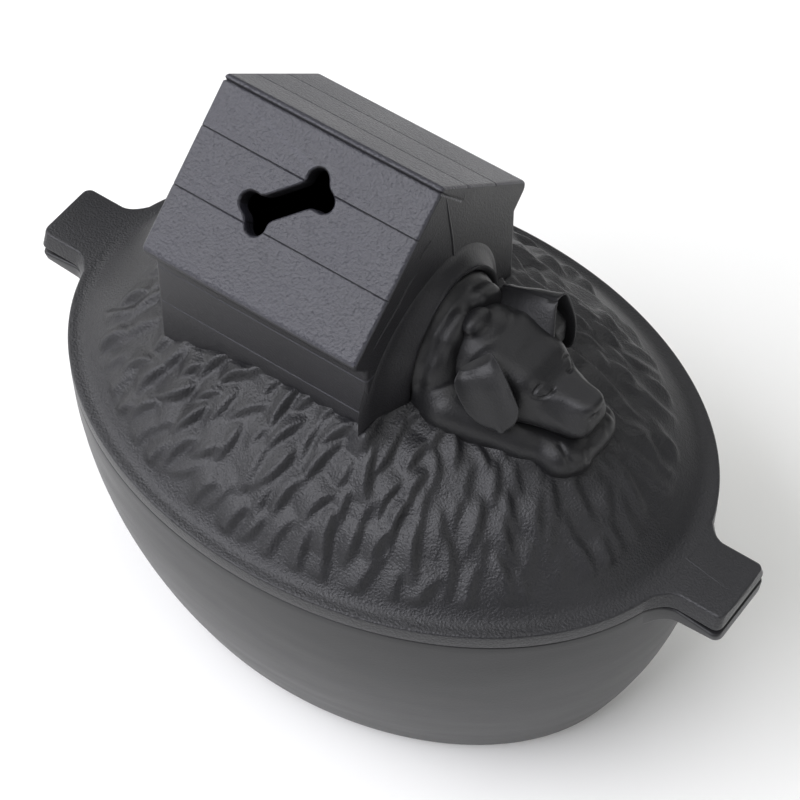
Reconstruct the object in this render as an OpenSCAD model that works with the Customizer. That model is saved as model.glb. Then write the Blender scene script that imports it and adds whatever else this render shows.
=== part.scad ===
// Cast iron stove-top steamer: an oval water pot and a lift-off lid.
// The lid is one casting: a grassy mound, a doghouse with a bone-shaped
// steam vent through its roof, and a puppy lying in the doorway.
// Millimetres. +X runs along the oval towards the puppy's nose, +Z is up,
// and the origin is the middle of the pot's resting face.

/* [Pot] */
// Length of the oval rim
rim_length = 278; // [220:1:340]
// Width of the oval rim
rim_width = 200; // [165:1:250]
// Height from the resting face to the seam under the lid
pot_height = 111; // [80:1:150]
// Thickness of the pot's wall
pot_wall = 4.5; // [3:0.5:7]
// Thickness of the pot's floor
pot_floor = 5; // [3:0.5:10]
// How far the wall comes in at the foot on the long sides
side_taper = 24; // [12:1:32]
// How far the wall comes in at the foot on the two ends
end_taper = 27; // [12:1:36]
// Radius of the pot's bottom edge
foot_round = 6; // [2:1:12]

/* [Handles] */
// How far each handle stands out past the rim
handle_reach = 23.5; // [15:0.5:35]
// Width of a handle at its top face
handle_width = 30; // [20:1:45]
// How much wider each side of a handle is at the seam
handle_draft = 2; // [0:0.5:4]
// Thickness of the pot's handle where it leaves the wall
handle_root = 10; // [7:0.5:16]
// Thickness of the pot's handle at its tip
handle_tip = 4.5; // [3:0.5:7]
// Finger gap between the two handles at the tip
handle_gap = 3; // [1:0.5:5]

/* [Lid] */
// Height of the lid's edge band above the seam
lid_edge = 7; // [5:0.5:12]
// Width of the flat ledge around the mound
ledge = 5; // [3:0.5:10]
// Height of the mound above the ledge
mound_rise = 50; // [35:1:65]
// How quickly the mound steepens towards the rim
mound_power = 2.5; // [2:0.1:3.5]
// Thickness of the lid's shell, measured straight down
lid_wall = 6; // [4:0.5:9]
// Depth of the locating lip inside the pot's mouth
lip_depth = 6; // [3:0.5:12]
// Thickness of the locating lip
lip_wall = 4; // [3:0.5:6]
// Gap between the lip and the pot's wall
lip_clearance = 1.5; // [0.5:0.25:3]

/* [Doghouse] */
// Length of the house along the ridge
house_length = 97; // [80:1:115]
// Width of the house across its walls
house_width = 95; // [75:1:110]
// Distance of the front wall ahead of the middle of the oval
house_front = 25; // [10:1:35]
// Height of the eaves above the seam
eave_height = 96; // [82:1:115]
// Height of the ridge above the seam
ridge_height = 142; // [125:1:165]
// How far the eaves stand out past the walls
eave_overhang = 7; // [4:0.5:10]
// Thickness of the roof boards
roof_board = 7.5; // [6:0.5:10]
// Thickness of the house walls
house_wall = 6; // [4:0.5:9]
// Depth of the grooves between boards
board_groove = 1; // [0.4:0.1:1.5]

/* [Steam vent] */
// Length of the bone over its knuckles
bone_length = 36; // [28:1:48]
// Width of the bone over its knuckles
bone_width = 17; // [14:0.5:22]
// Width of the bone's shaft
bone_shaft = 8.2; // [6:0.2:10]
// Turn of the bone on the roof slope
bone_turn = 43; // [0:1:90]
// Distance of the bone's middle behind the front wall
bone_setback = 52.5; // [40:0.5:60]
// Distance of the bone's middle down the slope from the ridge
bone_drop = 31; // [26:0.5:40]

/* [Puppy] */
// Width of the doorway arch
door_width = 60; // [48:1:68]
// Height of the doorway arch above the seam
door_top = 93; // [82:1:98]
// How far the arch stands out of the front wall
door_lip = 6; // [3:0.5:9]
// Distance from the front wall to the middle of the head
head_reach = 36; // [30:1:42]
// Height of the middle of the head above the seam
head_height = 69; // [64:1:76]
// Length of the head and muzzle
head_length = 52; // [46:1:58]
// Width of the skull
head_width = 38; // [32:1:44]

/* [Hidden] */

half_length = rim_length / 2;
half_width = rim_width / 2;
tip_reach = half_length + handle_reach;
seam_width = handle_width + 2 * handle_draft;
stretch = half_length / half_width;
vessel_rings = 9;
oval_sides = 72;
hull_sides = 32;
through = 1;
sink = 12;

mouth_length = half_length - pot_wall;
mouth_width = half_width - pot_wall;
lip_length = mouth_length - lip_clearance;
lip_width = mouth_width - lip_clearance;

mound_radius = half_width - ledge;
mound_steps = 14;
edge_top = pot_height + lid_edge;

house_back = house_front - house_length;
house_middle = (house_front + house_back) / 2;
half_house = house_width / 2;
house_base = pot_height + lid_edge;
half_roof = half_house + eave_overhang;
eave_z = pot_height + eave_height;
ridge_z = pot_height + ridge_height;
roof_slope = atan((ridge_height - eave_height) / half_roof);
slope_length = norm([half_roof, ridge_height - eave_height]);
ceiling_drop = roof_board / cos(roof_slope);
bone_x = house_front - bone_setback;
board_count = 3;
wall_boards = [60, 80];

head_x = house_front + head_reach;
head_z = pot_height + head_height;
skull = head_width / 2;
nose_x = head_x - skull + head_length;
paw_x = nose_x - 8;
paw_z = pot_height + mound(paw_x / (mound_radius * stretch)) - 1;

iron = [0.20, 0.20, 0.215];
iron_light = [0.26, 0.26, 0.275];

// Height of the mound's skin above the seam at a share of its radius
function mound(share) = lid_edge + mound_rise * (1 - pow(share, mound_power));

// How far the pot's outline comes in at height z, as a share of its taper
function taper(z) = pow(1 - z / pot_height, 2);

// How far the rounded bottom edge takes the outline in at height z
function foot(z) = z >= foot_round ? 0
    : foot_round - sqrt(pow(foot_round, 2) - pow(foot_round - z, 2));

// Upright elliptical slab
module oval(x_radius, y_radius, z, height) {
    translate([0, 0, z])
        scale([x_radius / y_radius, 1, 1])
            cylinder(r = y_radius, h = height);
}

// Stacked outlines of the pot, drawn in by an even inset
module vessel(inset, bottom) {
    skin = 0.01;
    hull()
        for (i = [0 : vessel_rings]) {
            z = bottom + (pot_height - bottom) * pow(i / vessel_rings, 1.4);
            edge = foot(z - bottom) + inset;
            oval(half_length - end_taper * taper(z) - edge,
                 half_width - side_taper * taper(z) - edge,
                 z - (i == vessel_rings ? skin : 0), skin, $fn = oval_sides);
        }
}

// Both pot handles in one bar, thinner and lower at the tips
module pot_handles() {
    root_x = half_length - pot_wall;
    rotate([90, 0, 0])
        linear_extrude(height = seam_width, center = true)
            polygon([
                [-tip_reach, pot_height - handle_gap],
                [-root_x, pot_height],
                [root_x, pot_height],
                [tip_reach, pot_height - handle_gap],
                [tip_reach, pot_height - handle_gap - handle_tip],
                [root_x, pot_height - handle_root - handle_gap],
                [-root_x, pot_height - handle_root - handle_gap],
                [-tip_reach, pot_height - handle_gap - handle_tip]
            ]);
}

module pot() {
    color(iron_light)
        difference() {
            union() {
                vessel(0, 0);
                pot_handles();
            }
            vessel(pot_wall, pot_floor);
            oval(mouth_length, mouth_width, pot_height - through, 2 * through, $fn = oval_sides);
        }
}

// Both lid handles in one bar, its sides drafted towards the top
module lid_handles() {
    rotate([90, 0, 90])
        linear_extrude(height = 2 * tip_reach, center = true)
            polygon([
                [-seam_width / 2, pot_height],
                [seam_width / 2, pot_height],
                [handle_width / 2, edge_top],
                [-handle_width / 2, edge_top]
            ]);
}

// Solid of revolution under the mound's skin, stretched to the oval
module mound_solid(radius, drop, bottom) {
    scale([stretch, 1, 1])
        rotate_extrude($fn = oval_sides)
            polygon(concat(
                [[0, bottom]],
                [[0, pot_height + mound(0) - drop]],
                [for (i = [1 : mound_steps])
                    let (share = i / mound_steps)
                    [radius * share, pot_height + mound(share) - drop]],
                [[radius, bottom]]
            ));
}

// End view of the house, with its eaves over the long walls
module house_outline() {
    in_y = roof_board * sin(roof_slope);
    in_z = roof_board * cos(roof_slope);
    polygon([
        [0, ridge_z],
        [half_roof, eave_z],
        [half_roof - in_y, eave_z - in_z],
        [half_house, eave_z - in_z + (half_roof - in_y - half_house) * tan(roof_slope)],
        [half_house, house_base],
        [-half_house, house_base],
        [-half_house, eave_z - in_z + (half_roof - in_y - half_house) * tan(roof_slope)],
        [-(half_roof - in_y), eave_z - in_z],
        [-half_roof, eave_z]
    ]);
}

module house_solid() {
    translate([house_back, 0, 0])
        rotate([90, 0, 90])
            linear_extrude(height = house_length)
                house_outline();
}

// Steam chamber inside the house, open to the pot below
module house_hollow() {
    inner = half_house - house_wall;
    ceiling = ridge_z - ceiling_drop;
    translate([house_back + house_wall, 0, 0])
        rotate([90, 0, 90])
            linear_extrude(height = house_length - 2 * house_wall)
                polygon([
                    [0, ceiling],
                    [inner, ceiling - inner * tan(roof_slope)],
                    [inner, pot_height],
                    [-inner, pot_height],
                    [-inner, ceiling - inner * tan(roof_slope)]
                ]);
}

// Places its children on a roof slope: X along the ridge, Y up the slope
module on_slope(side) {
    mirror([0, side > 0 ? 1 : 0, 0])
        translate([0, 0, ridge_z])
            rotate([roof_slope, 0, 0])
                children();
}

// Bone-shaped steam vent through the near roof slope
module bone_vent() {
    knuckle = bone_width / 4 - 0.1;
    spread = bone_width / 2 - knuckle;
    on_slope(-1)
        translate([bone_x, -bone_drop, -roof_board - sink])
            rotate([0, 0, bone_turn]) {
                for (end = [-1, 1])
                    for (side = [-1, 1])
                        translate([end * (bone_length / 2 - knuckle), side * spread, 0])
                            cylinder(r = knuckle, h = roof_board + 2 * sink, $fn = hull_sides);
                translate([-bone_length / 2 + knuckle, -bone_shaft / 2, 0])
                    cube([bone_length - 2 * knuckle, bone_shaft, roof_board + 2 * sink]);
            }
}

// Grooves that divide each roof slope and each long wall into boards
module board_grooves() {
    for (side = [-1, 1])
        on_slope(side)
            for (i = [1 : board_count - 1])
                translate([house_back - through, -slope_length * i / board_count, -board_groove])
                    cube([house_length + 2 * through, board_groove, 2 * board_groove]);
    for (side = [-1, 1])
        for (z = wall_boards)
            translate([house_back - through, side * half_house - board_groove, pot_height + z])
                cube([house_length + 2 * through, 2 * board_groove, board_groove]);
}

// Arched doorway, bulging out of the front wall
module doorway() {
    radius = door_width / 2;
    spring = pot_height + door_top - radius;
    translate([house_front - house_wall, 0, 0])
        rotate([90, 0, 90])
            linear_extrude(height = house_wall + door_lip) {
                translate([0, spring])
                    circle(r = radius, $fn = 2 * hull_sides);
                translate([-radius, house_base])
                    square([door_width, spring - house_base]);
            }
}

// A ball at a place, for the puppy's rounded forms
module ball(place, radius) {
    translate(place)
        sphere(r = radius, $fn = hull_sides / 2);
}

// Shoulders, head, ears and forelegs of the puppy
module puppy() {
    leg_z = paw_z + 2;
    ear_y = skull + 3;
    hull() {
        ball([house_front + 2, 0, leg_z + 18], 24);
        ball([house_front + 18, 0, leg_z + 8], 20);
    }
    hull() {
        for (side = [-1, 1])
            ball([head_x - 3, side * (skull - 14), head_z], 14);
        ball([head_x + 5, 0, head_z], 14);
    }
    hull() {
        ball([head_x + 8, 0, head_z - 5], 13);
        ball([nose_x - 10, 0, head_z - 9], 10.5);
    }
    for (side = [-1, 1])
        hull() {
            ball([head_x - 4, side * (ear_y - 9), head_z + 13], 4);
            ball([head_x + 3, side * ear_y, head_z + 7], 3.5);
            ball([head_x + 5, side * (ear_y + 2), head_z - 14], 3);
            ball([head_x - 10, side * (ear_y + 1), head_z - 6], 3.5);
        }
    for (side = [-1, 1])
        hull() {
            ball([house_front + 16, side * 13, leg_z], 10);
            ball([paw_x, side * 9, paw_z], 9.5);
        }
}

module lid() {
    color(iron)
        difference() {
            union() {
                oval(half_length, half_width, pot_height, lid_edge);
                oval(lip_length, lip_width, pot_height - lip_depth, lip_depth + lid_edge);
                mound_solid(mound_radius, 0, pot_height);
                lid_handles();
                house_solid();
                doorway();
                puppy();
            }
            oval(lip_length - lip_wall, lip_width - lip_wall,
                 pot_height - lip_depth - through, lip_depth + through + 0.5);
            mound_solid(lip_width - lip_wall - ledge, lid_wall, pot_height - through);
            house_hollow();
            bone_vent();
            board_grooves();
        }
}

pot();
lid();
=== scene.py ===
import bpy
import bmesh
import math
import random
import numpy as np
from mathutils import Matrix, Vector, noise


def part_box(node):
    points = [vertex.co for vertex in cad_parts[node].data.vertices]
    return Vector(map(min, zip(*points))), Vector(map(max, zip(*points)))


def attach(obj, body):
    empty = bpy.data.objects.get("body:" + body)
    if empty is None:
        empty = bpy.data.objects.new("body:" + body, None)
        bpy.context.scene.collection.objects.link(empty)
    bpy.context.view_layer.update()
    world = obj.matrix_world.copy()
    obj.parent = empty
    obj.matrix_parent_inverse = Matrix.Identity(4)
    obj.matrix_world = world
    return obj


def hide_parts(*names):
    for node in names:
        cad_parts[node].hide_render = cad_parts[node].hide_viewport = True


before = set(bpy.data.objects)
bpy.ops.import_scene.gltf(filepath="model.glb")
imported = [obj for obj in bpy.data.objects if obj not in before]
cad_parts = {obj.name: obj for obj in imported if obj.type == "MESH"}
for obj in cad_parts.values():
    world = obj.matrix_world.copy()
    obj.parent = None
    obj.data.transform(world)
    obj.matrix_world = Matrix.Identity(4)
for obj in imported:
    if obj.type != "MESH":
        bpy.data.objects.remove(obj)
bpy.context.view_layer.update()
mm = 0.001
weldGap = 1e-7
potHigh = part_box("pot")[1]
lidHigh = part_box("lid")[1]

iron = {
    "rim length": 278,
    "rim width": potHigh.y * 2 / mm,
    "seam": potHigh.z / mm,
    "tip": lidHigh.x / mm,
    "ridge": lidHigh.z / mm,
    "edge": 7,
    "ledge": 5,
    "mound rise": 50,
    "mound power": 2.5,
}
halfLength = iron["rim length"] / 2
halfWidth = iron["rim width"] / 2
seam = iron["seam"]
ledgeTop = seam + iron["edge"]
moundShare = 1 - iron["ledge"] / halfWidth
print("frame loaded, seam at", round(seam, 2), "mm")


# ---- finishes

finishes = {
    "lidIron": {
        "color": (0.012, 0.012, 0.0138),
        "rough": 0.37, "shine": 0.49, "grain": 1300, "bump": 0.50, "speck": 0.08,
    },
    # roof slopes: the sand grain and shine are the real cast surface, but the lighter bluish colour is
    # painted light standing in for the bluish softbox reflection
    "roofIronPaintedLight": {
        "color": (0.019, 0.019, 0.0262),
        "rough": 0.36, "shine": 0.62, "grain": 1050, "bump": 0.70, "speck": 0.12,
    },
    "houseIron": {
        "color": (0.012, 0.0117, 0.0135),
        "rough": 0.42, "shine": 0.33, "grain": 1500, "bump": 0.26, "speck": 0.08,
    },
    "puppyIron": {
        "color": (0.011, 0.011, 0.0120),
        "rough": 0.40, "shine": 0.43, "grain": 1600, "bump": 0.18, "speck": 0.06,
    },
    "potIron": {
        "color": (0.014, 0.014, 0.015),
        "rough": 0.38, "shine": 0.43, "grain": 1500, "bump": 0.10, "speck": 0.08,
    },
}


metal = {
    "ior": 1.5,
    "sand scale": 0.7,
    "patch scale": 28,
    "tone spread": (0.82, 1.2),
    "tone ramp": (0.3, 0.7),
    # pointiness range, share and lift of the painted highlight on sharp crests
    "crest": (0.51, 0.60),
    "painted crest highlight share": 0.35,
    "painted crest highlight lift": 2.2,
    "rough spread": (-0.05, 0.09),
    "grain depth": 0.0006,
}


def castIron(name, streaks=False):
    s = finishes[name]
    material = bpy.data.materials.new(name)
    material.use_nodes = True
    nodes = material.node_tree.nodes
    links = material.node_tree.links
    shader = nodes["Principled BSDF"]
    shader.inputs["IOR"].default_value = metal["ior"]
    shader.inputs["Specular IOR Level"].default_value = s["shine"]
    place = nodes.new("ShaderNodeTexCoord")
    grain = nodes.new("ShaderNodeTexNoise")
    grain.inputs["Scale"].default_value = s["grain"]
    grain.inputs["Detail"].default_value = 3
    grain.inputs["Roughness"].default_value = 0.6
    links.new(place.outputs["Object"], grain.inputs["Vector"])
    sand = nodes.new("ShaderNodeTexVoronoi")  # sand print left by the mould
    sand.inputs["Scale"].default_value = s["grain"] * metal["sand scale"]
    links.new(place.outputs["Object"], sand.inputs["Vector"])
    patches = nodes.new("ShaderNodeTexNoise")  # broad drift in the blacking
    patches.inputs["Scale"].default_value = metal["patch scale"]
    patches.inputs["Detail"].default_value = 4
    stretch = nodes.new("ShaderNodeMapping")
    stretch.inputs["Scale"].default_value = (1, 1, 5) if streaks else (1, 1, 1)
    links.new(place.outputs["Object"], stretch.inputs["Vector"])
    links.new(stretch.outputs["Vector"], patches.inputs["Vector"])

    mixed = nodes.new("ShaderNodeMath")
    mixed.operation = "MULTIPLY_ADD"
    mixed.inputs[1].default_value = 0.5
    links.new(sand.outputs["Distance"], mixed.inputs[0])
    links.new(grain.outputs["Fac"], mixed.inputs[2])

    tone = nodes.new("ShaderNodeValToRGB")
    r, g, b = s["color"]
    for stop, at, gain in zip(tone.color_ramp.elements, metal["tone ramp"], metal["tone spread"]):
        stop.position = at
        stop.color = (r * gain, g * gain, b * gain, 1)
    links.new(patches.outputs["Fac"], tone.inputs["Fac"])

    freckle = nodes.new("ShaderNodeMix")
    freckle.data_type = "RGBA"
    freckle.blend_type = "OVERLAY"
    freckle.inputs["Factor"].default_value = s["speck"]
    links.new(tone.outputs["Color"], freckle.inputs["A"])
    links.new(grain.outputs["Color"], freckle.inputs["B"])

    paintedHighlightProbe = nodes.new("ShaderNodeNewGeometry")  # painted highlight: sharp crests are painted a little lighter
    paintedHighlightMask = nodes.new("ShaderNodeMapRange")
    paintedHighlightMask.inputs["From Min"].default_value = metal["crest"][0]
    paintedHighlightMask.inputs["From Max"].default_value = metal["crest"][1]
    paintedHighlightMask.inputs["To Max"].default_value = metal["painted crest highlight share"]
    links.new(paintedHighlightProbe.outputs["Pointiness"], paintedHighlightMask.inputs["Value"])
    # painted highlight colour mixed over the base tone on sharp crests
    paintedHighlightMix = nodes.new("ShaderNodeMix")
    paintedHighlightMix.data_type = "RGBA"
    lift = metal["painted crest highlight lift"]
    paintedHighlightMix.inputs["B"].default_value = (r * lift, g * lift, b * lift, 1)
    links.new(paintedHighlightMask.outputs["Result"], paintedHighlightMix.inputs["Factor"])
    links.new(freckle.outputs["Result"], paintedHighlightMix.inputs["A"])
    links.new(paintedHighlightMix.outputs["Result"], shader.inputs["Base Color"])

    shine = nodes.new("ShaderNodeMapRange")
    shine.inputs["To Min"].default_value = s["rough"] + metal["rough spread"][0]
    shine.inputs["To Max"].default_value = s["rough"] + metal["rough spread"][1]
    links.new(patches.outputs["Fac"], shine.inputs["Value"])
    links.new(shine.outputs["Result"], shader.inputs["Roughness"])

    bump = nodes.new("ShaderNodeBump")
    bump.inputs["Strength"].default_value = s["bump"]
    bump.inputs["Distance"].default_value = metal["grain depth"]
    links.new(mixed.outputs["Value"], bump.inputs["Height"])
    links.new(bump.outputs["Normal"], shader.inputs["Normal"])
    return material


lidIron = castIron("lidIron")
roofIronPaintedLight = castIron("roofIronPaintedLight")
houseIron = castIron("houseIron")
puppyIron = castIron("puppyIron")
potIron = castIron("potIron", streaks=True)
print("finishes ready")


# ---- making pieces

def gridSolid(places):
    rows = places.shape[0] - 1
    columns = places.shape[1] - 1
    bm = bmesh.new()
    bmesh.ops.create_grid(bm, x_segments=columns, y_segments=rows, size=1)
    for v in bm.verts:
        column = round((v.co.x + 1) / 2 * columns)
        row = round((v.co.y + 1) / 2 * rows)
        v.co = places[row, column] * mm
    bmesh.ops.remove_doubles(bm, verts=bm.verts, dist=weldGap)
    bmesh.ops.recalc_face_normals(bm, faces=bm.faces)
    return bm


def finishPiece(name, bm, body, material, nodeName, crease=40, even=False):
    mesh = bpy.data.meshes.new(name)
    bm.to_mesh(mesh)
    bm.free()
    while mesh.materials:
        mesh.materials.pop()
    mesh.materials.append(material)
    mesh.polygons.foreach_set("use_smooth", [True] * len(mesh.polygons))
    mesh.set_sharp_from_angle(angle=math.radians(crease))
    piece = bpy.data.objects.new(name, mesh)
    bpy.context.scene.collection.objects.link(piece)
    if even:
        shading = piece.modifiers.new("even", "WEIGHTED_NORMAL")
        shading.keep_sharp = True
        shading.weight = 100
    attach(piece, body)
    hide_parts(nodeName)
    return piece


def addInto(bm, other):
    spare = bpy.data.meshes.new("spare")
    other.to_mesh(spare)
    other.free()
    bm.from_mesh(spare)
    bpy.data.meshes.remove(spare)


def helperObject(name, bm):
    mesh = bpy.data.meshes.new(name)
    bm.to_mesh(mesh)
    bm.free()
    helper = bpy.data.objects.new(name, mesh)
    bpy.context.scene.collection.objects.link(helper)
    return helper


def bakeModifiers(helper):
    graph = bpy.context.evaluated_depsgraph_get()
    mesh = bpy.data.meshes.new_from_object(helper.evaluated_get(graph))
    bm = bmesh.new()
    bm.from_mesh(mesh)
    bpy.data.meshes.remove(mesh)
    return bm


def dropHelper(helper):
    mesh = helper.data
    bpy.data.objects.remove(helper)
    bpy.data.meshes.remove(mesh)


def cutAway(bm, cutters):
    block = helperObject("block", bm)
    tools = []
    for cutter in cutters:
        tool = helperObject("cutter", cutter)
        cut = block.modifiers.new("cut", "BOOLEAN")
        cut.object = tool
        cut.operation = "DIFFERENCE"
        cut.solver = "EXACT"
        tools.append(tool)
    result = bakeModifiers(block)
    for helper in tools + [block]:
        dropHelper(helper)
    return result


def quarterArc(radius, steps):
    for i in range(steps + 1):
        turn = i / steps * math.pi / 2
        yield radius * (1 - math.cos(turn)), radius * math.sin(turn)


def beadAlong(points, radius, up=(1, 0, 0)):
    line = np.array(points, float)
    rows = []
    for i, point in enumerate(line):
        ahead = Vector(line[min(i + 1, len(line) - 1)] - line[max(i - 1, 0)]).normalized()
        side = ahead.cross(Vector(up)).normalized()
        size = radius * math.sin(math.pi * (i + 0.35) / (len(line) - 0.3)) ** 0.5
        row = []
        for k in range(8):
            turn = math.tau * k / 8
            spot = Vector(point) + side * size * math.cos(turn) + Vector(up) * size * math.sin(turn)
            row.append(tuple(spot))
        rows.append(row + [row[0]])
    rows.insert(0, [tuple(line[0])] * 9)
    rows.append([tuple(line[-1])] * 9)
    return gridSolid(np.array(rows))


# ---- handles

handle = {
    "half width": 15,
    "draft": 2,
    "edge round": 1.1,
    "corner": 3,
    "root flare": 3.6,
    "flare from": 145,
    "flare over": 7,
    "stations": 30,
    "crowding": 1.7,
    "round steps": 4,
    "parting": [(122, 2.5, 119.6), (128, 1.8, 118.4), (134, 1, 117.95),
                (142, 0, 117.85), (150, -1.2, 117.85), (158, -2.4, 117.8)],
    "parting half": 0.4,
    "start": 134,
}


def handleSection(x, half, lowHalf, top, low, side):
    r = min(handle["edge round"], (top - low) / 2.2)
    ring = []
    corners = [(half - r, top - r, 0), (r - half, top - r, 90)]
    corners += [(r - lowHalf, low + r, 180), (lowHalf - r, low + r, 270)]
    for y, z, start in corners:
        for i in range(handle["round steps"] + 1):
            turn = math.radians(start + i * 90 / handle["round steps"])
            ring.append((side * x, y + r * math.cos(turn), z + r * math.sin(turn)))
    ring.append(ring[0])
    return ring


def tabHandle(side, topAt, lowAt, topHalf, lowHalf):
    tip = iron["tip"]
    corner = handle["corner"]
    rows = []
    for i in range(handle["stations"] + 1):
        share = i / handle["stations"]
        x = handle["start"] + (tip - handle["start"]) * (1 - (1 - share) ** handle["crowding"])
        flare = max(0, (handle["flare from"] - x) / handle["flare over"]) ** 2 * handle["root flare"]
        inward = max(0, x - (tip - corner))
        rounded = corner - math.sqrt(max(0, corner ** 2 - inward ** 2))
        wider = flare - rounded
        rows.append(handleSection(x, topHalf + wider, lowHalf + wider, topAt(x), lowAt(x), side))
    for row in (0, -1):
        middle = np.mean(np.array(rows[row][:-1]), axis=0)
        closing = [tuple(middle)] * len(rows[row])
        if row == 0:
            rows.insert(0, closing)
        else:
            rows.append(closing)
    return gridSolid(np.array(rows))


# ---- pot

pot = {
    "wall": 4.5,
    "floor": 5,
    "side taper": 24,
    "end taper": 27,
    "foot round": 6,
    "inner round": 9,
    "rim round": 0.7,
    "turns": 288,
    "wobble": 0.10,
    "wobble size": (26, 9),
    "outer rings": 30,
    "inner rings": 24,
    "tab inset": 0.8,
    "root": 10,
    "tip": 4.5,
    "gap": 3,
}


def potProfile():
    height = seam
    rows = []

    def wallRow(z, inset, shrink=1):
        taper = (1 - z / height) ** 2
        rows.append((shrink, pot["end taper"] * taper + inset, pot["side taper"] * taper + inset, z))

    for shrink in (0, 0.3, 0.6, 0.85, 0.97):
        wallRow(0, pot["foot round"], shrink)
    for inset, z in [(pot["foot round"] - up, over) for over, up in quarterArc(pot["foot round"], 8)]:
        wallRow(z, inset)
    upper = height - pot["rim round"]
    outer = pot["outer rings"]
    for i in range(1, outer + 1):
        z = pot["foot round"] + (upper - pot["foot round"]) * i / outer
        wallRow(z, 0)
    for inset, up in list(quarterArc(pot["rim round"], 3))[1:]:
        wallRow(upper + up, inset)
    for inset, up in reversed(list(quarterArc(pot["rim round"], 3))):
        wallRow(upper + up, pot["wall"] - inset)
    start = pot["floor"] + pot["inner round"]
    inner = pot["inner rings"]
    for i in range(1, inner + 1):
        wallRow(upper + (start - upper) * i / inner, pot["wall"])
    for inset, up in list(quarterArc(pot["inner round"], 6))[1:]:
        wallRow(start - up, pot["wall"] + inset)
    for shrink in (0.9, 0.7, 0.45, 0.2, 0):
        taper = (1 - pot["floor"] / height) ** 2
        inset = pot["wall"] + pot["inner round"]
        endIn = pot["end taper"] * taper + inset
        sideIn = pot["side taper"] * taper + inset
        rows.append((shrink, endIn, sideIn, pot["floor"]))
    return rows


def buildPot():
    rows = potProfile()
    turns = pot["turns"]
    broad, tall = pot["wobble size"]
    places = np.zeros((len(rows), turns + 1, 3))
    for i, (shrink, endIn, sideIn, z) in enumerate(rows):
        for j in range(turns + 1):
            turn = math.tau * (j % turns) / turns
            x = (halfLength - endIn) * shrink * math.cos(turn)
            y = (halfWidth - sideIn) * shrink * math.sin(turn)
            swell = 0
            if 1 < z < seam - 4:
                swell = pot["wobble"] * (noise.noise(Vector((x / broad, y / broad, z / tall))) - 0.5)
            places[i, j] = (x * (1 + swell / halfWidth), y * (1 + swell / halfWidth), z)
    bm = gridSolid(places)
    span = iron["tip"] - handle["start"]

    def top(x):
        return seam - 0.05 - pot["gap"] * max(0, (x - handle["start"] - 4) / (span - 4))

    def low(x):
        share = (x - handle["start"]) / span
        return top(x) - pot["root"] + (pot["root"] - pot["tip"]) * share

    half = handle["half width"] + handle["draft"]
    for side in (-1, 1):
        addInto(bm, tabHandle(side, top, low, half, half - pot["tab inset"]))
    return finishPiece("water_pot", bm, "pot", potIron, "pot")


buildPot()
print("pot done")


# ---- lid: mound, grass, edge band, lip and handles

lid = {
    "rays": 640,
    "rings": 118,
    "lip depth": 6,
    "lip wall": 4,
    "lip gap": 1.5,
    "shell": 6,
    "band round": 1.0,
    "foot blend": 3.4,
    "crowding": 0.93,
    "probe": 0.1,
    "lip round": 0.6,
    "dome rings": 12,
    "house front": 25,
    "house back": -72,
    "house half": 47.5,
    "house wall": 6,
}
grass = {
    "seed": 11,
    "spacing": 7.8,
    "tries": 9000,
    "long": (14, 25),
    "gentle": (5.5, 11.0),
    "steep": (1.4, 2.6),
    "tall": (1.9, 4.6),
    "bend": 0.036,
    "spread": 0.27,
    "lean": (1.0, 0.35),
    "margin near": 0.935,
    "margin far": 0.885,
    "margin back": 0.90,
    "bank": 2.4,
    "corner": 3.5,
    "corner reach": 6,
    "bank reach": 5,
    "edge fade": 0.028,
    "crown": 0.85,
    "steep power": 1.9,
    "gentle power": 1.6,
    "far side": 15,
    "far turn": 0.006,
    "bare back": -104,
    "soften": 2,
    "fan centre": (35, 20),
}
houseMiddle = (lid["house front"] + lid["house back"]) / 2


def softFoot(x, y):
    share = np.sqrt((x / (halfLength * moundShare)) ** 2 + (y / (halfWidth * moundShare)) ** 2)
    rise = iron["mound rise"] * (1 - share ** iron["mound power"])
    blend = lid["foot blend"]
    return ledgeTop + (rise + np.sqrt(rise * rise + blend * blend)) / 2 - blend * 0.1


def outsideHouse(x, y):
    over = np.maximum(np.maximum(lid["house back"] - x, x - lid["house front"]), 0)
    side = np.maximum(np.abs(y) - lid["house half"], 0)
    return np.hypot(over, side)


def grassMargin(x, y):
    turn = np.arctan2(y / halfWidth, x / halfLength)
    near = np.clip(-np.sin(turn), 0, 1)
    back = np.clip(-np.cos(turn), 0, 1) ** 2
    edge = grass["margin far"] + (grass["margin near"] - grass["margin far"]) * near
    return edge + (grass["margin back"] - edge) * back


def ovalShare(x, y):
    return np.sqrt((x / halfLength) ** 2 + (y / halfWidth) ** 2)


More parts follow.
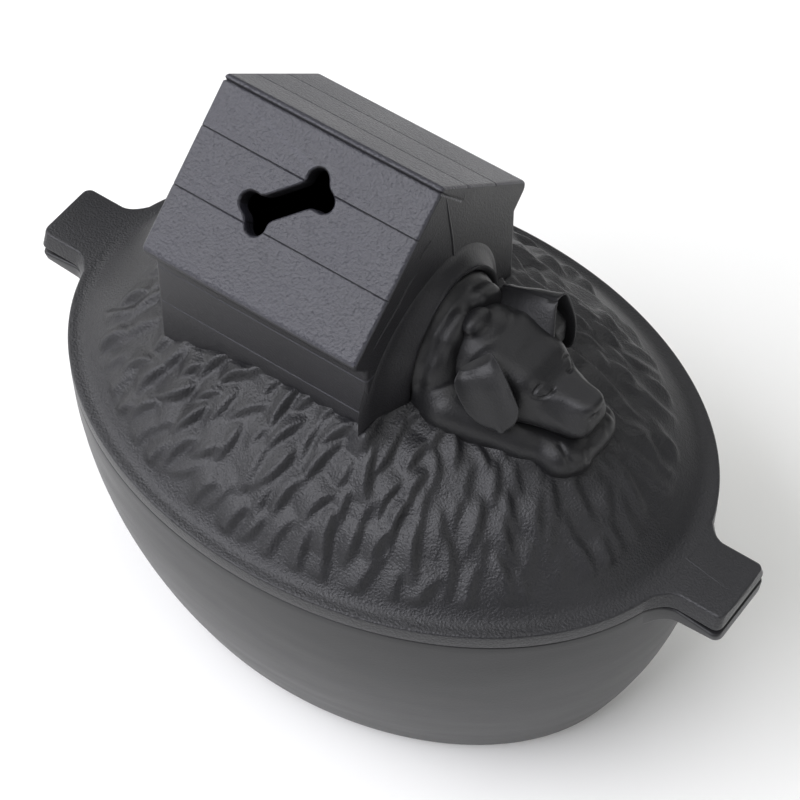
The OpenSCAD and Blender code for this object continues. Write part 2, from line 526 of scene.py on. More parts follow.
def growTufts():
    picker = random.Random(grass["seed"])
    tufts = []
    taken = []
    for _ in range(grass["tries"]):
        x = picker.uniform(-halfLength, halfLength)
        y = picker.uniform(-halfWidth, halfWidth)
        share = float(ovalShare(x, y))
        if share > float(grassMargin(x, y)) - 0.03:
            continue
        if x < grass["bare back"] + 10 * picker.random():
            continue
        if float(outsideHouse(x, y)) < 0.1 and abs(y) < lid["house half"] - 3:
            continue
        if any((x - a) ** 2 + (y - b) ** 2 < grass["spacing"] ** 2 for a, b in taken):
            continue
        taken.append((x, y))
        cx, cy = grass["fan centre"]
        fan = math.atan2(y - cy, x - cx)
        if y > grass["far side"]:
            fan = max(0, 20 - x) * grass["far turn"] if x > -60 else math.atan2(y, x + 30)
        fan += picker.gauss(0, grass["spread"])
        leanX, leanY = grass["lean"]
        facing = 1 if -math.sin(fan) * leanX + math.cos(fan) * leanY > 0 else -1
        tufts.append({
            "x": x,
            "y": y,
            "turn": fan,
            "facing": facing,
            "long": picker.uniform(*grass["long"]),
            "gentle": picker.uniform(*grass["gentle"]),
            "steep": picker.uniform(*grass["steep"]),
            "tall": picker.uniform(*grass["tall"]) * (1 - 0.35 * min(1, max(0, (x - 40) / 60))),
            "bend": picker.choice((-1, 1, 1)) * picker.uniform(0.3, 1) * grass["bend"],
        })
    print("tufts", len(tufts))
    return tufts


def grassHeight(x, y, tufts):
    height = np.zeros_like(x)
    for tuft in tufts:
        dx = x - tuft["x"]
        dy = y - tuft["y"]
        near = np.nonzero(dx * dx + dy * dy < (tuft["long"] * 0.8) ** 2)
        if not len(near[0]):
            continue
        c = math.cos(tuft["turn"])
        s = math.sin(tuft["turn"])
        u = dx[near] * c + dy[near] * s
        v = (dy[near] * c - dx[near] * s) * tuft["facing"]
        v = v - tuft["bend"] * u * u
        live = np.clip(u / tuft["long"] + 0.5, 0, 1)
        crown = np.sin(math.pi * live ** grass["crown"])
        wide = crown ** 0.7 + 0.02
        steep = np.clip(v / (tuft["steep"] * (0.5 + 0.5 * wide)), 0, 1)
        gentle = np.clip(-v / (tuft["gentle"] * wide * 1.25), 0, 1)
        across = np.where(v > 0, (1 - steep) ** grass["steep power"], (1 - gentle) ** grass["gentle power"])
        lift = tuft["tall"] * across * crown ** 0.9
        height[near] = np.maximum(height[near], lift)
    return height


def rayToOval(turnCos, turnSin, length, width):
    a = (turnCos / length) ** 2 + (turnSin / width) ** 2
    b = 2 * houseMiddle * turnCos / length ** 2
    c = (houseMiddle / length) ** 2 - 1
    reach = (-b + np.sqrt(b * b - 4 * a * c)) / (2 * a)
    return houseMiddle + reach * turnCos, reach * turnSin


def buildLid():
    rays = lid["rays"]
    probe = lid["probe"]
    fine = np.linspace(0, math.tau, 8001)
    run = np.hypot(np.diff(np.cos(fine) * halfLength), np.diff(np.sin(fine) * halfWidth))
    run = np.concatenate([[0], np.cumsum(run)])
    param = np.interp(np.arange(rays) / rays * run[-1], run, fine)
    turn = np.arctan2(halfWidth * np.sin(param), halfLength * np.cos(param) - houseMiddle)
    c = np.cos(turn)
    s = np.sin(turn)
    wall = lid["house wall"] / 2
    halfX = (lid["house front"] - lid["house back"]) / 2 - wall
    halfY = lid["house half"] - wall
    hole = np.minimum(halfX / np.maximum(np.abs(c), 1e-6), halfY / np.maximum(np.abs(s), 1e-6))
    holeX = houseMiddle + hole * c
    holeY = hole * s
    footX, footY = rayToOval(c, s, halfLength * moundShare, halfWidth * moundShare)
    tufts = growTufts()

    across = ((np.arange(lid["rings"] + 1) / lid["rings"]) ** lid["crowding"])[:, None]
    lifts = grassHeight(holeX + (footX - holeX) * across, holeY + (footY - holeY) * across, tufts)
    for _ in range(grass["soften"]):
        lifts = lifts / 2 + (np.roll(lifts, 1, axis=1) + np.roll(lifts, -1, axis=1)) / 4
        lifts[1:-1] = lifts[1:-1] / 2 + (lifts[:-2] + lifts[2:]) / 4

    rings = []
    for i in range(lid["rings"] + 1):
        share = (i / lid["rings"]) ** lid["crowding"]
        x = holeX + (footX - holeX) * share
        y = holeY + (footY - holeY) * share
        z = softFoot(x, y)
        slopeX = (softFoot(x + probe, y) - softFoot(x - probe, y)) / (2 * probe)
        slopeY = (softFoot(x, y + probe) - softFoot(x, y - probe)) / (2 * probe)
        size = np.sqrt(slopeX ** 2 + slopeY ** 2 + 1)
        lift = lifts[i]
        away = outsideHouse(x, y)
        bank = grass["bank"] * np.exp(-away / grass["bank reach"]) * np.clip((110 + x) / 60, 0, 1)
        edge = np.clip((grassMargin(x, y) - ovalShare(x, y)) / grass["edge fade"], 0, 1)
        corner = np.hypot(x - lid["house front"], y + lid["house half"])
        bank = bank + grass["corner"] * np.exp(-(corner / grass["corner reach"]) ** 2)
        lift = (lift + bank) * edge * edge * (3 - 2 * edge)
        rings.append(np.stack([x - slopeX / size * lift, y - slopeY / size * lift, z + lift / size], axis=1))

    def ovalRing(inset, z):
        x, y = rayToOval(c, s, halfLength - inset, halfWidth - inset)
        rings.append(np.stack([x, y, np.full_like(x, z)], axis=1))

    for inset in (4.2, 3.4, 2.6, 1.8):
        x, y = rayToOval(c, s, halfLength - inset, halfWidth - inset)
        rings.append(np.stack([x, y, softFoot(x, y)], axis=1))
    for inset, up in reversed(list(quarterArc(lid["band round"], 4))):
        ovalRing(inset, ledgeTop - lid["band round"] + up)
    ovalRing(0, seam + 3)
    for inset, up in quarterArc(0.5, 2):
        ovalRing(inset, seam + 0.5 - up)
    lip = pot["wall"] + lid["lip gap"]
    ovalRing(lip, seam)
    soft = lid["lip round"]
    ovalRing(lip, seam - lid["lip depth"] + soft)
    ovalRing(lip + soft, seam - lid["lip depth"])
    ovalRing(lip + lid["lip wall"] - soft, seam - lid["lip depth"])
    ovalRing(lip + lid["lip wall"], seam - lid["lip depth"] + soft)
    ovalRing(lip + lid["lip wall"], seam + 0.5)
    domeShare = (halfWidth - lip - lid["lip wall"] - iron["ledge"]) / halfWidth
    domeX, domeY = rayToOval(c, s, halfLength * domeShare, halfWidth * domeShare)
    for i in range(lid["dome rings"] + 1):
        share = i / lid["dome rings"]
        x = domeX + (holeX - domeX) * share
        y = domeY + (holeY - domeY) * share
        inner = np.sqrt((x / (halfLength * domeShare)) ** 2 + (y / (halfWidth * domeShare)) ** 2)
        z = ledgeTop - lid["shell"] + iron["mound rise"] * (1 - np.minimum(inner, 1) ** iron["mound power"])
        rings.append(np.stack([x, y, z], axis=1))
    rings.append(rings[0])
    places = np.array(rings)
    places = np.concatenate([places, places[:, :1]], axis=1)
    bm = gridSolid(places)

    def top(x):
        return ledgeTop - 0.03

    def low(x):
        return seam + 0.02

    half = handle["half width"]
    for side in (-1, 1):
        addInto(bm, tabHandle(side, top, low, half, half + handle["draft"]))
    addInto(bm, beadAlong(handle["parting"], handle["parting half"], (0, 0, 1)))
    return finishPiece("grassy_lid", bm, "lid", lidIron, "lid", crease=60)


buildLid()
print("lid done")


# ---- doghouse

house = {
    "front": lid["house front"],
    "back": lid["house back"],
    "half": lid["house half"],
    "half roof": 54.5,
    "eave": seam + 96,
    "eave lip": (53.9, 3.4),
    "eave depth": 9.8,
    "board": 7.5,
    "wall": lid["house wall"],
    "floor": seam + 14,
    "soft": 1.5,
    "roof boards": (21, 45),
    "wall boards": (seam + 60, seam + 80),
    "groove": 0.45,
    "groove half": 0.42,
    "ridge step": 2.3,
    "step depth": 0.9,
    "step half": 0.8,
    "roof reach": 1.2,
    "ridge reach": 2,
    "gable strip": 0.6,
    "corner strip": 43,
    # faces pointing up more than this get the painted light roof tone
    "painted light face least": 0.3,
}
vent = {
    "long": 36.5,
    "wide": 17.2,
    "shaft": 9.2,
    "turn": 43,
    "setback": 52.5,
    "drop": 31,
    "points": 132,
    "smooth": 7,
    "levels": [(-22, 0), (-1.6, 0), (-0.9, 0.1), (-0.4, 0.35), (-0.1, 0.75), (0.3, 1.6), (1.2, 2.0)],
}
arch = {
    "half": 28.5,
    "spring": seam + 57,
    "rise": 36.5,
    "recess": 4,
    "cut margin": -1.6,
    "cut past": 3,
}
ridge = iron["ridge"]
slope = math.atan2(ridge - house["eave"], house["half roof"])


def softEdges(bm, width, least=30, steps=3):
    bm.normal_update()
    sharp = [e for e in bm.edges if len(e.link_faces) == 2 and e.calc_face_angle() > math.radians(least)]
    bmesh.ops.bevel(bm, geom=sharp, offset=width * mm, offset_type="OFFSET", segments=steps,
                    affect="EDGES", profile=0.5, material=-1, clamp_overlap=True)


def prismAlongX(outline, start, end):
    bm = bmesh.new()
    ring = [bm.verts.new((start * mm, y * mm, z * mm)) for y, z in outline]
    face = bm.faces.new(ring)
    pushed = bmesh.ops.extrude_face_region(bm, geom=[face])
    moved = [g for g in pushed["geom"] if isinstance(g, bmesh.types.BMVert)]
    bmesh.ops.translate(bm, verts=moved, vec=((end - start) * mm, 0, 0))
    bmesh.ops.recalc_face_normals(bm, faces=bm.faces)
    return bm


def scoreLine(bm, point, normal, half, depth, wanted):
    normal = Vector(normal).normalized()
    for shift in (-half, half, 0):
        at = Vector(point) * mm + normal * shift * mm
        every = bm.verts[:] + bm.edges[:] + bm.faces[:]
        cut = bmesh.ops.bisect_plane(bm, geom=every, plane_co=at, plane_no=normal, dist=1e-7)
    bm.normal_update()
    middle = [g for g in cut["geom_cut"] if isinstance(g, bmesh.types.BMVert)]
    moves = [(v, v.normal.copy()) for v in middle if wanted(v)]
    for v, out in moves:
        v.co -= (out - normal * out.dot(normal)) * depth * mm


def slopeMatrix(side):
    turned = Matrix.Rotation(slope, 4, "X")
    if side > 0:
        turned = Matrix.Scale(-1, 4, (0, 1, 0)) @ turned
    return Matrix.Translation((0, 0, ridge * mm)) @ turned


def boneRing(swell):
    knuckle = vent["wide"] / 4
    spread = vent["wide"] / 2 - knuckle
    reach = vent["long"] / 2 - knuckle
    shaft = vent["shaft"] / 2
    quarter = [(0, shaft), (reach * 0.33, shaft), (reach - knuckle * 1.1, shaft)]
    for i in range(13):
        turn = math.radians(170 - i * 18)
        quarter.append((reach + knuckle * math.cos(turn), max(0, spread + knuckle * math.sin(turn))))
    corner = [(x, y) for x, y in quarter] + [(x, -y) for x, y in reversed(quarter)]
    corner += [(-x, -y) for x, y in quarter] + [(-x, y) for x, y in reversed(quarter)]
    ring = np.array(corner)
    ring = np.concatenate([ring, ring[:1]])
    run = np.concatenate([[0], np.cumsum(np.hypot(*np.diff(ring, axis=0).T))])
    at = np.arange(vent["points"]) / vent["points"] * run[-1]
    ring = np.stack([np.interp(at, run, ring[:, k]) for k in (0, 1)], axis=1)
    for _ in range(vent["smooth"]):
        ring = ring * 0.5 + (np.roll(ring, 1, axis=0) + np.roll(ring, -1, axis=0)) * 0.25
    ahead = np.roll(ring, -1, axis=0) - np.roll(ring, 1, axis=0)
    out = np.stack([-ahead[:, 1], ahead[:, 0]], axis=1) / np.hypot(ahead[:, 0], ahead[:, 1])[:, None]
    return ring + out * swell


def boneCutter():
    levels = vent["levels"]
    rows = []
    for up, swell in levels:
        ring = boneRing(swell)
        rows.append([(x, y, up) for x, y in ring] + [(ring[0][0], ring[0][1], up)])
    rows.insert(0, [(0, 0, levels[0][0])] * len(rows[0]))
    rows.append([(0, 0, levels[-1][0])] * len(rows[0]))
    bm = gridSolid(np.array(rows))
    place = Matrix.Translation(((house["front"] - vent["setback"]) * mm, -vent["drop"] * mm, 0))
    place = slopeMatrix(-1) @ place @ Matrix.Rotation(math.radians(vent["turn"]), 4, "Z")
    bmesh.ops.transform(bm, matrix=place, verts=bm.verts)
    return bm


def wallOutline():
    half = house["half"]
    lipY, lipDrop = house["eave lip"]
    eave = house["eave"]
    side = [(half, house["floor"]), (half, eave - house["eave depth"]), (lipY, eave - lipDrop),
            (house["half roof"], eave)]
    return side + [(0, ridge)] + [(-y, z) for y, z in reversed(side)]


def hollowOutline():
    half = house["half"] - house["wall"]
    peak = ridge - house["board"] / math.cos(slope)
    side = peak - half * math.tan(slope)
    return [(0, peak), (half, side), (half, seam), (-half, seam), (-half, side)]


def doorOutline(grow, steps=40):
    ring = [(arch["half"] + grow, house["floor"] + 6)]
    for i in range(steps + 1):
        turn = math.pi * i / steps
        y = (arch["half"] + grow) * math.cos(turn)
        ring.append((y, arch["spring"] + (arch["rise"] + grow) * math.sin(turn)))
    ring.append((-(arch["half"] + grow), house["floor"] + 6))
    return ring


def onSlope(side, deep):
    def wanted(v):
        drop = v.co.y * side * math.sin(slope) + (v.co.z - ridge * mm) * math.cos(slope)
        return v.co.y * side > 0 and drop > -deep * mm
    return wanted


archTrim = {
    "profile": [(-2.6, 18), (-2.2, 26.5), (-1.6, 28.9), (-0.8, 30.3), (0.2, 30.9), (1.2, 30.8),
                (2.6, 30.2), (4.6, 29.2), (7.0, 28.0), (9.6, 26.9), (12.4, 26.0), (15.4, 25.4),
                (19, 25.0), (21, 23.8), (8, 21), (-2.6, 18)],
    "wave": 0.5,
    "wave size": 9,
    "jamb steps": 8,
    "turn steps": 64,
    "far share": 0.4,
    "near share": 0.7,
}


def archLip():
    path = []
    low = house["floor"] + 4
    jamb = archTrim["jamb steps"]
    for i in range(jamb):
        path.append((arch["half"], low + (arch["spring"] - low) * i / jamb, 0.0))
    for i in range(archTrim["turn steps"] + 1):
        turn = math.pi * i / archTrim["turn steps"]
        path.append((arch["half"] * math.cos(turn), arch["spring"] + arch["rise"] * math.sin(turn), turn))
    for i in range(jamb):
        path.append((-arch["half"], arch["spring"] + (low - arch["spring"]) * (i + 1) / jamb, math.pi))
    rows = []
    for y, z, turn in path:
        out = Vector((math.cos(turn) / arch["half"], math.sin(turn) / arch["rise"]))
        out.normalize()
        ripple = archTrim["wave size"]
        wave = archTrim["wave"] * noise.noise(Vector((y / ripple, z / ripple, 3)))
        broad = archTrim["far share"]
        if turn > math.pi / 2:
            broad += archTrim["near share"] * math.cos(turn) ** 2
        row = []
        for away, x in archTrim["profile"]:
            reach = away * broad if away > 1.2 else away
            row.append((x + (wave if x > 26 else 0), y + out.x * reach, z + out.y * reach))
        rows.append(row)
    for row in (0, -1):
        middle = tuple(np.mean(np.array(rows[row][:-1]), axis=0))
        closing = [middle] * len(rows[1])
        if row == 0:
            rows.insert(0, closing)
        else:
            rows.append(closing)
    return gridSolid(np.array(rows))


gableFace = house["front"] - 0.2
beads = [
    {"line": [(-16, 222.6), (-19.5, 221.8), (-22.7, 220.2), (-26.9, 216.4), (-31, 213.6), (-35.0, 211.2),
              (-39.5, 208.4), (-43.2, 205.6)],
     "thick": 0.75},
    {"line": [(-7.9, 232.1), (-11, 230.9), (-14.6, 228.4)], "thick": 0.7},
    {"line": [(1.5, 246), (3.2, 235), (5.6, 220.6), (6.6, 211), (7.2, 200)], "thick": 0.7},
]
patch = {"middle": (24.4, 21.5, 192), "size": (2.0, 13, 6), "turn": 44}


def gablePatch():
    bm = bmesh.new()
    bmesh.ops.create_uvsphere(bm, u_segments=32, v_segments=20, radius=1)
    bmesh.ops.scale(bm, verts=bm.verts, vec=Vector(patch["size"]) * mm)
    bmesh.ops.rotate(bm, verts=bm.verts, matrix=Matrix.Rotation(math.radians(-patch["turn"]), 3, "X"))
    bmesh.ops.translate(bm, verts=bm.verts, vec=Vector(patch["middle"]) * mm)
    return bm


def awayFromGable(v):
    return v.co.x < (house["front"] - house["gable strip"]) * mm or v.co.y < -house["corner strip"] * mm


def buildHouse():
    body = prismAlongX(wallOutline(), house["back"], house["front"])
    softEdges(body, house["soft"], least=15)
    for z in house["wall boards"]:
        scoreLine(body, (0, 0, z), (0, 0, 1), house["groove half"], house["groove"],
                  awayFromGable)
    for side in (-1, 1):
        down = Vector((0, side * math.cos(slope), -math.sin(slope)))
        for drop in house["roof boards"]:
            scoreLine(body, Vector((0, 0, ridge)) + down * drop, down, house["groove half"], house["groove"],
                      onSlope(side, house["roof reach"]))
    down = Vector((0, -math.cos(slope), -math.sin(slope)))
    scoreLine(body, Vector((0, 0, ridge)) + down * house["ridge step"], down, house["step half"],
              house["step depth"], onSlope(-1, house["ridge reach"]))
    inner = prismAlongX(hollowOutline(), house["back"] + house["wall"], house["front"] - house["wall"])
    doorway = doorOutline(arch["cut margin"])
    door = prismAlongX(doorway, house["front"] - arch["recess"], house["front"] + arch["cut past"])
    body = cutAway(body, [inner, door, boneCutter()])
    body.normal_update()
    # painted light: faces pointing up get the lighter bluish roof tone, the rest get the plain houseIron
    for face in body.faces:
        face.material_index = 0 if face.normal.z > house["painted light face least"] else 1
    doghouse = finishPiece("doghouse", body, "lid", roofIronPaintedLight, "lid", crease=50, even=True)
    doghouse.data.materials.append(houseIron)
    trim = archLip()
    addInto(trim, gablePatch())
    for bead in beads:
        addInto(trim, beadAlong([(gableFace, y, z) for y, z in bead["line"]], bead["thick"]))
    finishPiece("doorway_arch", trim, "lid", houseIron, "lid", crease=70)


buildHouse()
print("doghouse done")


# ---- puppy

puppy = {
    "voxel": 0.75,
    "smooth": 9,
    "body smooth": 20,
    "body voxel": 1.2,
    "ball cuts": (24, 14),
    "head balls": [((45, 0, 178), (14, 17, 17.5)), ((58, 0, 184), (8, 21, 8)),
                   ((42.5, -3.5, 195), (4.5, 7, 4.5))],
    "head hulls": [
        [((54, 8, 182.5), 10), ((66, 7, 181), 8.5), ((60, 10, 172), 8.5),
         ((72, 7, 178.5), 6), ((70, 8, 171), 7.5)],
        [((70, 7.5, 177), 6), ((70, 8, 170.5), 7), ((84, 4.8, 170.8), 6.4), ((82, 4.4, 179.2), 3.4)],
        [((74, 6.5, 170.5), 7), ((89, 4.3, 169.8), 5.6), ((76, 4.6, 179.8), 3.4), ((90.6, 3.0, 178.6), 3.4)],
        [((70, 6, 164), 5), ((86, 3, 163.2), 4)],
        [((92.2, 2.2, 179.2), 2.9), ((92.2, 0.8, 176), 2.4)],
        [((74, 7.2, 180.6), 3.8), ((66, 8, 184), 5)],
    ],
    "ear filling": [((48, 9, 183), 5), ((60, 9, 182), 4), ((55, 17, 190.5), 3), ((48, 18, 188), 4),
                    ((57, 21.5, 190.5), 2.6), ((62.5, 22, 183.5), 2.8), ((62.5, 21, 176), 3)],
    "body balls": [((36, 0, 173), (9, 26, 22)), ((29, 0, 168), (8, 28, 35)),
                   ((34, 0, 172), (9, 23, 27)), ((50, 0, 162), (16, 20, 10))],
    "limbs": [
        [((37, -17, 164), 7), ((36.5, -16, 178), 6.5), ((36.5, -12.5, 190), 5.5), ((37, -6, 195.5), 4)],
        [((37, 17, 164), 7), ((36.5, 16, 178), 6.5), ((36.5, 12.5, 190), 5.5), ((37, 6, 195.5), 4)],
        [((34, -19, 163), 10.5), ((43, -20, 163), 12), ((53, -17.5, 161), 11.3), ((62, -15.5, 159), 9.6),
         ((71, -13.5, 156.8), 8.8), ((77, -10, 155.2), 8.0), ((85, -9.4, 153), 9), ((88, -6, 152), 8.4)],
        [((34, 19, 163), 10.5), ((43, 20, 163), 12), ((53, 17.5, 161), 11.3), ((62, 15.5, 159), 9.6),
         ((71, 13.5, 156.8), 8.8), ((79, 11, 155), 8.2), ((87, 10, 152.8), 9), ((88, 2, 151.6), 8)],
    ],
}
ears = {
    "near": {
        "side": -1,
        "line": [(52, 16.4, 191.5), (55, 19.8, 189.5), (58.5, 21.4, 185.2), (63.4, 22.2, 177.5),
                 (67.8, 22.8, 169.2)],
        "half": [7.0, 9.6, 10.6, 10.2, 8.6],
        "across": [(0.62, -0.50, 0.60), (0.76, -0.43, 0.45), (0.85, -0.38, 0.36), (0.85, -0.38, 0.36),
                   (0.85, -0.38, 0.36)],
        "thick": 3.2,
        "dish": 2.7,
    },
    "far": {
        "side": 1,
        "line": [(54, 9.0, 184), (50, 18.0, 194.5), (52.5, 24.0, 193.5), (58, 25.3, 183), (65.5, 24, 170)],
        "half": [15.0, 13.5, 12.5, 11.0, 7.0],
        "across": [(0.95, -0.10, -0.15), (0.90, -0.05, 0.30), (0.86, 0.0, 0.46), (0.88, -0.10, 0.36),
                   (0.90, -0.20, 0.30)],
        "thick": 3.2,
        "dish": 1.4,
    },
}


def meltTogether(bm, voxel, smooth):
    clay = helperObject("clay", bm)
    melt = clay.modifiers.new("melt", "REMESH")
    melt.mode = "VOXEL"
    melt.voxel_size = voxel * mm
    made = bakeModifiers(clay)
    dropHelper(clay)
    for _ in range(smooth):
        bmesh.ops.smooth_vert(made, verts=made.verts, factor=0.5,
                              use_axis_x=True, use_axis_y=True, use_axis_z=True)
    return made


def addBall(bm, at, size):
    ball = bmesh.new()
    place = Matrix.Translation(Vector(at) * mm) @ Matrix.Diagonal((*(Vector(size) * mm), 1))
    around, high = puppy["ball cuts"]
    bmesh.ops.create_uvsphere(ball, u_segments=around, v_segments=high, radius=1, matrix=place)
    addInto(bm, ball)


def addLimb(bm, joints):
    for (fromAt, fromSize), (toAt, toSize) in zip(joints, joints[1:]):
        for i in range(7):
            share = i / 6
            size = fromSize + (toSize - fromSize) * share
            addBall(bm, Vector(fromAt).lerp(Vector(toAt), share), (size, size, size))


def addHull(bm, balls, sides=(-1, 1)):
    skin = bmesh.new()
    for (x, y, z), size in balls:
        for side in sides:
            addBall(skin, (x, y * side, z), (size, size, size))
    made = bmesh.ops.convex_hull(skin, input=skin.verts, use_existing_faces=False)
    spare = {g for g in made["geom_interior"] + made["geom_unused"] if isinstance(g, bmesh.types.BMVert)}
    bmesh.ops.delete(skin, geom=list(spare), context="VERTS")
    addInto(bm, skin)


earRows = 28
earColumns = 24
earTip = 0.70
earRim = 0.16


def earFlap(e):
    side = e["side"]
    rows = earRows
    columns = earColumns
    line = np.array(e["line"], float)
    line[:, 1] *= side
    half = np.array(e["half"], float)
    wayAcross = np.array(e["across"], float)
    wayAcross[:, 1] *= side
    knots = np.linspace(0, 1, len(line))
    fine = np.linspace(0, 1, rows + 1)
    smoothLine = np.stack([np.interp(fine, knots, line[:, k]) for k in range(3)], axis=1)
    for _ in range(6):
        smoothLine[1:-1] = (smoothLine[:-2] + smoothLine[2:]) / 2 * 0.5 + smoothLine[1:-1] * 0.5
    wide = np.interp(fine, knots, half)
    for _ in range(4):
        wide[1:-1] = (wide[:-2] + wide[2:]) / 4 + wide[1:-1] / 2
    narrowing = np.clip(fine - earTip, 0, 1) / (1.01 - earTip)
    wide = wide * np.sqrt(np.clip(1 - narrowing ** 2, 0.0, 1))
    rings = []
    for i in range(rows + 1):
        ahead = Vector(smoothLine[min(i + 1, rows)] - smoothLine[max(i - 1, 0)])
        across = Vector([np.interp(fine[i], knots, wayAcross[:, k]) for k in range(3)]).normalized()
        out = across.cross(ahead)
        out.normalize()
        if out.y * side < 0:
            out = -out
        middle = Vector(smoothLine[i])
        rim = max(0, 1 - fine[i] / earRim) ** 2
        ring = []
        for j in range(2 * columns):
            turn = math.tau * j / (2 * columns)
            s = math.cos(turn)
            lift = math.sin(turn) * e["thick"] / 2 * (1 - 0.25 * abs(s))
            hollow = e["dish"] * (max(s ** 4, rim) - 0.5) * (1 - fine[i] ** 3)
            if lift < 0:
                hollow *= 0.5
            ring.append(middle + across * s * wide[i] + out * (lift + hollow))
        ring.append(ring[0])
        rings.append(ring)
    for row in (0, -1):
        middle = sum(rings[row][:-1], Vector()) / (2 * columns)
        if row == 0:
            rings.insert(0, [middle] * (2 * columns + 1))
        else:
            rings.append([middle] * (2 * columns + 1))
    return gridSolid(np.array([[tuple(p) for p in ring] for ring in rings]))


carving = {
    "eye": {"middle": (75.8, 7.8, 183.6), "along": (0.42, -0.88, 0.16), "up": (-0.62, -0.20, 0.76),
            "half": 4.7, "open": 2.4, "width": 0.6, "depth": 0.95, "steps": 20},
    "nostril": {"line": [(95.5, 1.6, 176.6), (95.2, 3.3, 177.4), (94.4, 4.2, 176.6)],
                "width": 0.8, "depth": 0.9},
    "mouth": {"line": [(71, 15, 166.5), (78, 13, 164.8), (86, 10.5, 164.2), (92.5, 5.5, 164.8)],
              "width": 1.0, "depth": 0.8},
    "toes": [[(96, -6, 155), (93.5, -6, 160.5), (88, -5.5, 162.5)],
             [(93, -13.5, 155), (90.5, -12.8, 160), (86, -11, 162)],
             [(97, 8, 154), (94, 8, 160), (89, 7.5, 162)],
             [(95, 15, 153), (92, 14, 159), (87, 13, 161)]],
    "toe width": 1.2,
    "toe depth": 0.7,
}


def gapTo(spot, line):
    nearest = 1.0
    for start, end in zip(line, line[1:]):
        span = end - start
        share = max(0, min(1, (spot - start).dot(span) / max(span.length_squared, 1e-12)))
        nearest = min(nearest, (spot - start - span * share).length)
    return nearest


def carve(bm, points, width, depth):
    line = [Vector(point) * mm for point in points]
    middle = sum(line, Vector()) / len(line)
    reach = width * 3 * mm
    around = max((point - middle).length for point in line) + reach
    near = []
    for edge in bm.edges:
        spot = (edge.verts[0].co + edge.verts[1].co) / 2
        if (spot - middle).length < around and gapTo(spot, line) < reach:
            near.append(edge)
    bmesh.ops.subdivide_edges(bm, edges=near, cuts=1, use_grid_fill=True)
    bm.normal_update()
    moves = []
    for v in bm.verts:
        if (v.co - middle).length < around:
            gap = gapTo(v.co, line) / (width * mm)
            if gap < 3:
                moves.append((v, v.normal * depth * mm * math.exp(-gap * gap)))
    for v, push in moves:
        v.co -= push


def eyeLine(side):
    e = carving["eye"]
    middle, along, up = (Vector((x, y * side, z)) for x, y, z in (e["middle"], e["along"], e["up"]))
    points = []
    for i in range(e["steps"] + 1):
        turn = math.tau * i / e["steps"]
        rise = math.sin(turn) * e["open"] * (1 - 0.35 * abs(math.cos(turn)) ** 3)
        points.append(middle + along * e["half"] * math.cos(turn) + up * rise)
    return points


def buildPuppy():
    head = bmesh.new()
    for at, size in puppy["head balls"]:
        addBall(head, at, size)
    for balls in puppy["head hulls"]:
        addHull(head, balls)
    addHull(head, puppy["ear filling"], sides=(1,))
    bm = meltTogether(head, puppy["voxel"], puppy["smooth"])
    for side in (-1, 1):
        carve(bm, eyeLine(side), carving["eye"]["width"], carving["eye"]["depth"])
        for name in ("nostril", "mouth"):
            line = [(x, y * side, z) for x, y, z in carving[name]["line"]]
            carve(bm, line, carving[name]["width"], carving[name]["depth"])
    body = bmesh.new()
    for at, size in puppy["body balls"]:
        addBall(body, at, size)
    for joints in puppy["limbs"]:
        addLimb(body, joints)
    body = meltTogether(body, puppy["voxel"] * puppy["body voxel"], puppy["body smooth"])
    for line in carving["toes"]:
        carve(body, line, carving["toe width"], carving["toe depth"])
    addInto(bm, body)
    for ear in ears.values():
        addInto(bm, earFlap(ear))
    bmesh.ops.recalc_face_normals(bm, faces=bm.faces)
    return finishPiece("puppy", bm, "lid", puppyIron, "lid", crease=80)


buildPuppy()
print("puppy done")


# ---- floor, light and camera

lamps = {
    "near_left_box": ((-0.80, -1.25, 1.55), (2.4, 1.7), 61, (0.94, 0.94, 1.0)),
    "back_box": ((0.1, 1.5, 1.1), (1.8, 1.0), 6, (1, 1, 1)),
    "left_box": ((-1.7, 0.1, 0.8), (1.6, 1.0), 11.5, (1, 1, 1)),
    "far_left_box": ((-0.8, 1.1, 1.7), (1.6, 1.2), 2.6, (1, 1, 1)),
    "top_box": ((0.2, 0.0, 2.0), (1.4, 1.4), 10.5, (1, 1, 1)),
    "right_box": ((1.7, -0.1, 0.9), (1.6, 1.0), 7.5, (1, 1, 1)),
}
studio = {
    "floor size": 6,
    "floor tone": 0.90,
    "floor glow": 0.09,
    "floor rough": 0.9,
    "floor blue": 0.975,
    "aim": (0, 0, 0.1),
    "sensor": 36,
    "sky": 0.03,
    "lens": 135,
    "distance": 1.2347,
    "target": (-0.0175, 0.0326, 0.065),
    "azimuth": 35.56,
    "elevation": 52.30,
}


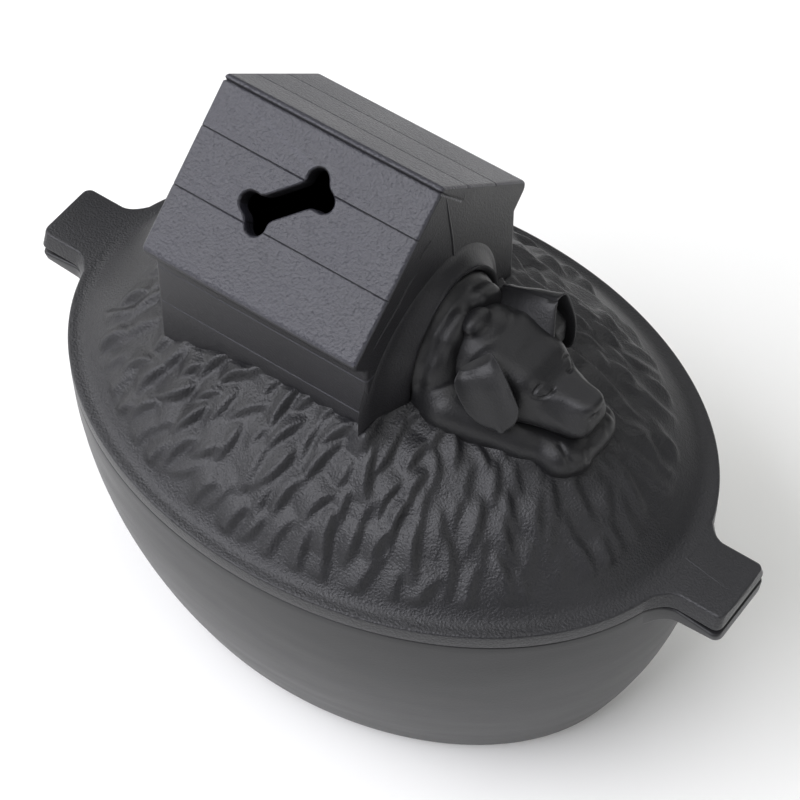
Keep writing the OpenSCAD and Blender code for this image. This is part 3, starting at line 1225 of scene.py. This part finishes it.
def buildFloor():
    bm = bmesh.new()
    bmesh.ops.create_grid(bm, x_segments=1, y_segments=1, size=studio["floor size"])
    mesh = bpy.data.meshes.new("floor")
    bm.to_mesh(mesh)
    bm.free()
    floor = bpy.data.objects.new("floor", mesh)
    bpy.context.scene.collection.objects.link(floor)
    paper = bpy.data.materials.new("paper")
    paper.use_nodes = True
    shader = paper.node_tree.nodes["Principled BSDF"]
    tone = studio["floor tone"]
    shader.inputs["Base Color"].default_value = (tone, tone, tone * studio["floor blue"], 1)
    shader.inputs["Roughness"].default_value = studio["floor rough"]
    shader.inputs["Emission Color"].default_value = (1, 1, 1, 1)
    shader.inputs["Emission Strength"].default_value = studio["floor glow"]
    mesh.materials.append(paper)


def softLight(name, place, target, size, power, color=(1, 1, 1)):
    lamp = bpy.data.lights.new(name, "AREA")
    lamp.shape = "RECTANGLE"
    lamp.size, lamp.size_y = size
    lamp.energy = power
    lamp.color = color
    thing = bpy.data.objects.new(name, lamp)
    bpy.context.scene.collection.objects.link(thing)
    thing.location = place
    thing.rotation_euler = (Vector(target) - Vector(place)).to_track_quat("-Z", "Y").to_euler()
    return thing


def buildStudio():
    world = bpy.data.worlds.new("studio")
    world.use_nodes = True
    sky = world.node_tree.nodes["Background"]
    sky.inputs["Color"].default_value = (1, 1, 1, 1)
    sky.inputs["Strength"].default_value = studio["sky"]
    bpy.context.scene.world = world
    for name, (place, size, power, color) in lamps.items():
        softLight(name, place, studio["aim"], size, power, color)
    a = math.radians(studio["azimuth"])
    e = math.radians(studio["elevation"])
    back = Vector((math.sin(a) * math.cos(e), -math.cos(a) * math.cos(e), math.sin(e)))
    lens = bpy.data.cameras.new("camera")
    lens.lens = studio["lens"]
    lens.sensor_width = studio["sensor"]
    camera = bpy.data.objects.new("camera", lens)
    bpy.context.scene.collection.objects.link(camera)
    camera.location = Vector(studio["target"]) + back * studio["distance"]
    camera.rotation_euler = (-back).to_track_quat("-Z", "Y").to_euler()
    bpy.context.scene.camera = camera
    bpy.context.scene.view_settings.view_transform = "Standard"


buildFloor()
buildStudio()
print("studio done")
